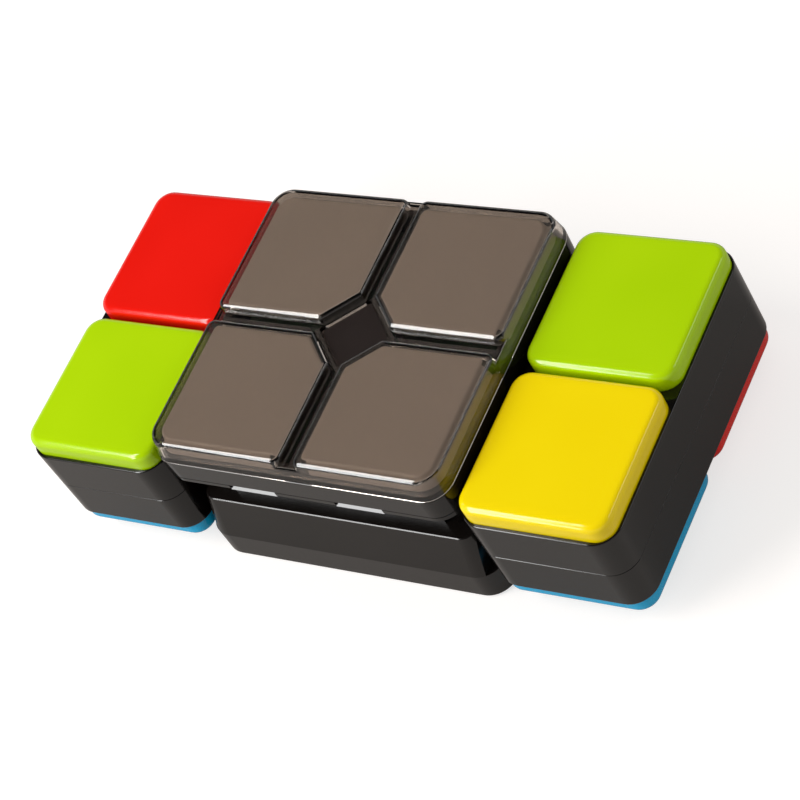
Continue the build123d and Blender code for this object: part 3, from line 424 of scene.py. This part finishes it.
def makeCapTree():
    tree, known = newTree("capShape", {
        "Half Size": "Float", "Corner Radius": "Float", "Edge Radius": "Float", "Depth": "Float",
        "Rim": "Float", "Crown": "Float", "Rings": "Int", "Edge Steps": "Int",
        "Centre": "Vector", "Turn": "Vector", "Finish": "Material"})
    known["place"] = addNode(tree, "GeometryNodeInputPosition").outputs[0]
    apart = addNode(tree, "ShaderNodeSeparateXYZ", None, {"Vector": known["place"]}).outputs
    known.update({"x": apart["X"], "y": apart["Y"]})
    addSteps(tree, known, (
        ("side", "number", "MULTIPLY_ADD", "Rings", 2.0, 1.0),

        # the flat grid is stretched to a square, and its corners are drawn onto round ones
        ("acrossX", "number", "ABSOLUTE", "x"),
        ("acrossY", "number", "ABSOLUTE", "y"),
        ("out", "number", "MAXIMUM", "acrossX", "acrossY"),
        ("reach", "number", "MAXIMUM", "out", smallestReach),
        ("stretch", "number", "DIVIDE", "Half Size", "reach"),
        ("edge", "vector", "MULTIPLY", "place", "stretch"),
        ("core", "number", "SUBTRACT", "Half Size", "Corner Radius"),
        ("highCorner", "vector", "MULTIPLY", "core", (1.0, 1.0, 0.0)),
        ("lowCorner", "vector", "MULTIPLY", "highCorner", (-1.0, -1.0, -1.0)),
        ("notOver", "vector", "MINIMUM", "edge", "highCorner"),
        ("inner", "vector", "MAXIMUM", "notOver", "lowCorner"),
        ("past", "vector", "SUBTRACT", "edge", "inner"),
        ("away", "vector", "NORMALIZE", "past"),

        # rings count inwards from the lower rim: rim, wall, round edge, then the crowned top
        ("inward", "number", "SUBTRACT", 1.0, "out"),
        ("ring", "number", "MULTIPLY", "inward", "Rings"),
        ("rim", "share", "ADD", "ring", 0.0),
        ("wall", "share", "SUBTRACT", "ring", 1.0),
        ("pastWall", "number", "SUBTRACT", "ring", 2.0),
        ("bend", "share", "DIVIDE", "pastWall", "Edge Steps"),
        ("angle", "number", "MULTIPLY", "bend", math.pi / 2),
        ("ringsPastWall", "number", "SUBTRACT", "Rings", 2.0),
        ("topRings", "number", "SUBTRACT", "ringsPastWall", "Edge Steps"),
        ("ringsLeft", "number", "SUBTRACT", "Rings", "ring"),
        ("top", "share", "DIVIDE", "ringsLeft", "topRings"),

        # how far in each ring stands, and the place in plan that this gives
        ("cosine", "number", "COSINE", "angle"),
        ("insetShare", "number", "SUBTRACT", 1.0, "cosine"),
        ("inset", "number", "MULTIPLY", "Edge Radius", "insetShare"),
        ("radius", "number", "SUBTRACT", "Corner Radius", "inset"),
        ("round", "vector", "MULTIPLY", "away", "radius"),
        ("outline", "vector", "ADD", "inner", "round"),
        ("flat", "vector", "MULTIPLY", "outline", "top"),

        # how high each ring stands above the lower rim
        ("rimAndCrown", "number", "ADD", "Rim", "Crown"),
        ("notStraight", "number", "ADD", "Edge Radius", "rimAndCrown"),
        ("straight", "number", "SUBTRACT", "Depth", "notStraight"),
        ("rimHeight", "number", "MULTIPLY", "rim", "Rim"),
        ("wallHeight", "number", "MULTIPLY_ADD", "wall", "straight", "rimHeight"),
        ("sine", "number", "SINE", "angle"),
        ("edgeHeight", "number", "MULTIPLY_ADD", "sine", "Edge Radius", "wallHeight"),
        ("topSquared", "number", "MULTIPLY", "top", "top"),
        ("crownShare", "number", "SUBTRACT", 1.0, "topSquared"),
        ("crown", "number", "MULTIPLY", "Crown", "crownShare"),
        ("topHeight", "number", "ADD", "edgeHeight", "crown"),
        ("height", "number", "SUBTRACT", "topHeight", "Depth"),
        ("lift", "vector", "MULTIPLY", "height", (0.0, 0.0, 1.0)),
        ("shellPlace", "vector", "ADD", "flat", "lift"),

        # a flat base closes the cap at its lower rim
        ("rimRound", "vector", "MULTIPLY", "away", "Corner Radius"),
        ("rimLine", "vector", "ADD", "inner", "rimRound"),
        ("spread", "vector", "MULTIPLY", "rimLine", "out"),
        ("drop", "vector", "MULTIPLY", "Depth", (0.0, 0.0, -1.0)),
        ("basePlace", "vector", "ADD", "spread", "drop"),
    ))
    grid = addNode(tree, "GeometryNodeMeshGrid", None, {
        "Size X": 2.0, "Size Y": 2.0,
        "Vertices X": known["side"], "Vertices Y": known["side"]}).outputs["Mesh"]
    shell = addNode(tree, "GeometryNodeSetPosition", None, {
        "Geometry": grid, "Position": known["shellPlace"]}).outputs[0]
    base = addNode(tree, "GeometryNodeSetPosition", None, {
        "Geometry": grid, "Position": known["basePlace"]}).outputs[0]
    base = addNode(tree, "GeometryNodeFlipFaces", None, {"Mesh": base}).outputs[0]
    whole = addNode(tree, "GeometryNodeJoinGeometry")
    tree.links.new(base, whole.inputs[0])
    tree.links.new(shell, whole.inputs[0])
    closed = addNode(tree, "GeometryNodeMergeByDistance", None, {
        "Geometry": whole.outputs[0], "Distance": weldDistance}).outputs[0]
    smooth = addNode(tree, "GeometryNodeSetShadeSmooth", None, {"Geometry": closed}).outputs[0]
    turn = addNode(tree, "FunctionNodeEulerToRotation", None, {"Euler": known["Turn"]}).outputs[0]
    placed = addNode(tree, "GeometryNodeTransform", None, {
        "Geometry": smooth, "Translation": known["Centre"], "Rotation": turn}).outputs[0]
    closeTree(tree, placed, known["Finish"])
    return tree


def makeCaps():
    tree = makeCapTree()
    for side in ("left", "right"):
        for row in ("front", "back"):
            for face in ("top", "under"):
                node = "_".join((side, "cap", row, face))
                low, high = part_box(node)
                level = high[2] if face == "top" else low[2]
                cap = makeFromTree("".join((side, row.title(), face.title(), "Cap")), tree, {
                    **capShape, "Half Size": (high[0] - low[0]) / 2,
                    "Centre": ((low[0] + high[0]) / 2, (low[1] + high[1]) / 2, level),
                    "Turn": (0.0 if face == "top" else math.pi, 0.0, 0.0),
                    "Finish": finishes[slotOf[node]]})
                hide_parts(node)
                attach(cap, side + "_block")


makeCaps()
print("colour caps made")


# pan head screws with a cross recess, in the four seats under the housing
housingScrew = {
    "Head Radius": 0.0025,
    "Head Height": 0.0016,
    "Dome": 0.0003,
    "Shank Radius": 0.00125,
    "Slot Length": 0.0028,
    "Slot Width": 0.0006,
    "Slot Depth": 0.0007,
}
screwMesh = {"headSides": 40, "headRings": 6, "shankSides": 24, "sharpAbove": 0.6}


def makeScrewTree():
    tree, known = newTree("crossHeadScrews", {
        "Spacing X": "Float", "Spacing Y": "Float", "Lowest": "Float", "Head Radius": "Float",
        "Head Height": "Float", "Dome": "Float", "Shank Radius": "Float", "Shank Length": "Float",
        "Slot Length": "Float", "Slot Width": "Float", "Slot Depth": "Float", "Finish": "Material"})
    place = addNode(tree, "GeometryNodeInputPosition").outputs[0]
    apart = addNode(tree, "ShaderNodeSeparateXYZ", None, {"Vector": place}).outputs
    known.update({"x": apart["X"], "y": apart["Y"], "z": apart["Z"]})
    known["fold"] = addNode(tree, "GeometryNodeInputMeshEdgeAngle").outputs["Unsigned Angle"]
    addSteps(tree, known, (
        ("straight", "number", "SUBTRACT", "Head Height", "Dome"),

        # the dome swells towards the middle of the head's outer face
        ("xSquared", "number", "MULTIPLY", "x", "x"),
        ("ySquared", "number", "MULTIPLY", "y", "y"),
        ("reach", "number", "ADD", "xSquared", "ySquared"),
        ("full", "number", "MULTIPLY", "Head Radius", "Head Radius"),
        ("reachShare", "number", "DIVIDE", "reach", "full"),
        ("swell", "share", "SUBTRACT", 1.0, "reachShare"),
        ("upper", "number", "GREATER_THAN", "z", 0.0),
        ("swollen", "number", "MULTIPLY", "swell", "Dome"),
        ("rise", "number", "MULTIPLY", "swollen", "upper"),
        ("riseUp", "vector", "MULTIPLY", "rise", (0.0, 0.0, 1.0)),

        # places: the head's outer face, the slots' depth, the shank under it and the seats' level
        ("top", "number", "MULTIPLY_ADD", "straight", 0.5, "Dome"),
        ("topUp", "vector", "MULTIPLY", "top", (0.0, 0.0, 1.0)),
        ("deep", "number", "MULTIPLY", "Slot Depth", 2.0),
        ("both", "number", "ADD", "straight", "Shank Length"),
        ("down", "number", "MULTIPLY", "both", -0.5),
        ("shankDown", "vector", "MULTIPLY", "down", (0.0, 0.0, 1.0)),
        ("level", "number", "ADD", "Lowest", "top"),
        ("levelUp", "vector", "MULTIPLY", "level", (0.0, 0.0, 1.0)),
        ("folded", "number", "GREATER_THAN", "fold", screwMesh["sharpAbove"]),
    ))
    head = addNode(tree, "GeometryNodeMeshCylinder", {"fill_type": "TRIANGLE_FAN"}, {
        "Vertices": screwMesh["headSides"], "Fill Segments": screwMesh["headRings"],
        "Radius": known["Head Radius"], "Depth": known["straight"]}).outputs["Mesh"]
    head = addNode(tree, "GeometryNodeSetPosition", None, {
        "Geometry": head, "Offset": known["riseUp"]}).outputs[0]
    cut = addNode(tree, "GeometryNodeMeshBoolean", {"operation": "DIFFERENCE"}, {"Mesh 1": head})
    for long, wide in (("Slot Length", "Slot Width"), ("Slot Width", "Slot Length")):
        size = addNode(tree, "ShaderNodeCombineXYZ", None, {
            "X": known[long], "Y": known[wide], "Z": known["deep"]})
        bar = addNode(tree, "GeometryNodeMeshCube", None, {"Size": size.outputs[0]}).outputs["Mesh"]
        bar = addNode(tree, "GeometryNodeTransform", None, {
            "Geometry": bar, "Translation": known["topUp"]}).outputs[0]
        tree.links.new(bar, cut.inputs["Mesh 2"])
    shank = addNode(tree, "GeometryNodeMeshCylinder", None, {
        "Vertices": screwMesh["shankSides"],
        "Radius": known["Shank Radius"], "Depth": known["Shank Length"]}).outputs["Mesh"]
    shank = addNode(tree, "GeometryNodeTransform", None, {
        "Geometry": shank, "Translation": known["shankDown"]}).outputs[0]
    screw = addNode(tree, "GeometryNodeJoinGeometry")
    tree.links.new(shank, screw.inputs[0])
    tree.links.new(cut.outputs["Mesh"], screw.inputs[0])
    smooth = addNode(tree, "GeometryNodeSetShadeSmooth", None, {"Geometry": screw.outputs[0]}).outputs[0]
    sharp = addNode(tree, "GeometryNodeSetShadeSmooth", {"domain": "EDGE"}, {
        "Geometry": smooth, "Selection": known["folded"], "Shade Smooth": False}).outputs[0]
    seats = addNode(tree, "GeometryNodeMeshGrid", None, {
        "Size X": known["Spacing X"], "Size Y": known["Spacing Y"],
        "Vertices X": 2, "Vertices Y": 2}).outputs["Mesh"]
    over = addNode(tree, "FunctionNodeEulerToRotation", None, {"Euler": (math.pi, 0.0, 0.0)}).outputs[0]
    four = addNode(tree, "GeometryNodeInstanceOnPoints", None, {
        "Points": seats, "Instance": sharp, "Rotation": over}).outputs[0]
    placed = addNode(tree, "GeometryNodeTransform", None, {
        "Geometry": four, "Translation": known["levelUp"]}).outputs[0]
    closeTree(tree, placed, known["Finish"])
    return tree


def makeHousingScrews():
    low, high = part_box("housing_screws")
    screws = makeFromTree("crossHeadHousingScrews", makeScrewTree(), {
        **housingScrew, "Spacing X": high[0] - low[0] - 2 * housingScrew["Head Radius"],
        "Spacing Y": high[1] - low[1] - 2 * housingScrew["Head Radius"], "Lowest": low[2],
        "Shank Length": high[2] - low[2] - housingScrew["Head Height"],
        "Finish": finishes[slotOf["housing_screws"]]})
    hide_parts("housing_screws")
    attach(screws, "centre")


makeHousingScrews()
print("housing screws made")


# floor and studio walls: the ceiling is dark, so that faces turned upwards mirror little. The floor is
# seen bright by the camera, while the black faces mirror it at its lit colour and a small glow more
studio = {
    "floorSize": 6.0,
    "floorColour": "B9B2AC",
    "cameraGlow": 0.66,
    "mirrorGlow": 0.05,
    "cameraSky": 1.0,
    "skyLight": 0.46,
    "wallMirror": 0.8,
    "ceilingMirror": 0.04,
    "wallTop": 0.2,
    "ceilingStart": 0.55,
}


def splitRays(tree):
    # which rays see a colour directly, through the smoked cover too, and which see it mirrored
    path = addNode(tree, "ShaderNodeLightPath").outputs
    known = {"camera": path["Is Camera Ray"], "through": path["Is Transmission Ray"],
             "glossy": path["Is Glossy Ray"]}
    addSteps(tree, known, (("direct", "share", "ADD", "camera", "through"),))
    return known


def makeStage(look):
    size = look["floorSize"] / 2
    mesh = bpy.data.meshes.new("floor")
    corners = [(-size, -size, 0), (size, -size, 0), (size, size, 0), (-size, size, 0)]
    mesh.from_pydata(corners, [], [(0, 1, 2, 3)])
    floor = bpy.data.objects.new("floor", mesh)
    bpy.context.collection.objects.link(floor)
    material, tree = newMaterial("paleFloor")
    matt = addNode(tree, "ShaderNodeBsdfDiffuse", None, {"Color": hexColour(look["floorColour"])})
    known = splitRays(tree)
    addSteps(tree, known, (
        ("mirrored", "number", "MULTIPLY", "glossy", look["mirrorGlow"]),
        ("strength", "number", "MULTIPLY_ADD", "direct", look["cameraGlow"], "mirrored"),
    ))
    glow = addNode(tree, "ShaderNodeEmission", None, {
        "Color": (1, 1, 1, 1), "Strength": known["strength"]})
    both = addNode(tree, "ShaderNodeAddShader", None, {0: matt.outputs[0], 1: glow.outputs[0]})
    closeMaterial(tree, both.outputs[0])
    floor.data.materials.append(material)

    world = bpy.data.worlds.new("studioWorld")
    bpy.context.scene.world = world
    world.use_nodes = True
    tree = world.node_tree
    tree.nodes.clear()
    known = splitRays(tree)
    place = addNode(tree, "ShaderNodeTexCoord")
    height = addNode(tree, "ShaderNodeSeparateXYZ", None, {"Vector": place.outputs["Generated"]})
    walls = addNode(tree, "ShaderNodeMapRange", None, {
        "Value": height.outputs["Z"], "From Min": look["wallTop"], "From Max": look["ceilingStart"],
        "To Min": look["wallMirror"], "To Max": look["ceilingMirror"]})
    mirror = addNode(tree, "ShaderNodeMix", {"data_type": "FLOAT"}, {
        0: known["glossy"], 2: look["skyLight"], 3: walls.outputs["Result"]})
    strength = addNode(tree, "ShaderNodeMix", {"data_type": "FLOAT"}, {
        0: known["direct"], 2: mirror.outputs[0], 3: look["cameraSky"]})
    sky = addNode(tree, "ShaderNodeBackground", None, {
        "Color": (1, 1, 1, 1), "Strength": strength.outputs[0]})
    output = addNode(tree, "ShaderNodeOutputWorld")
    tree.links.new(sky.outputs[0], output.inputs["Surface"])


# a long softbox in front on the left, which the near edges mirror, and a small one behind on the right
softboxes = {
    "softboxLeft": {"toward": (-0.546, -0.560, 0.623), "away": 1.2, "long": 1.25, "wide": 0.27,
                    "along": (0.0, 0.74, 0.67), "watts": 13.5},
    "softboxRight": {"toward": (0.718, 0.431, 0.546), "away": 1.2, "long": 0.55, "wide": 0.28,
                     "along": (0.0, 1.0, 0.0), "watts": 1.3},
}


def makeSoftbox(name, look, aim=(0.0, 0.0, 0.03)):
    light = bpy.data.lights.new(name, "AREA")
    light.shape = "RECTANGLE"
    light.size = look["long"]
    light.size_y = look["wide"]
    light.energy = look["watts"]
    lamp = bpy.data.objects.new(name, light)
    bpy.context.collection.objects.link(lamp)
    back = Vector(look["toward"]).normalized()
    along = Vector(look["along"])
    along = (along - back * along.dot(back)).normalized()
    side = back.cross(along)
    turn = Matrix((along, side, back)).transposed().to_4x4()
    lamp.matrix_world = Matrix.Translation(Vector(aim) + back * look["away"]) @ turn


makeStage(studio)
for name, look in softboxes.items():
    makeSoftbox(name, look)
print("stage and lights made")
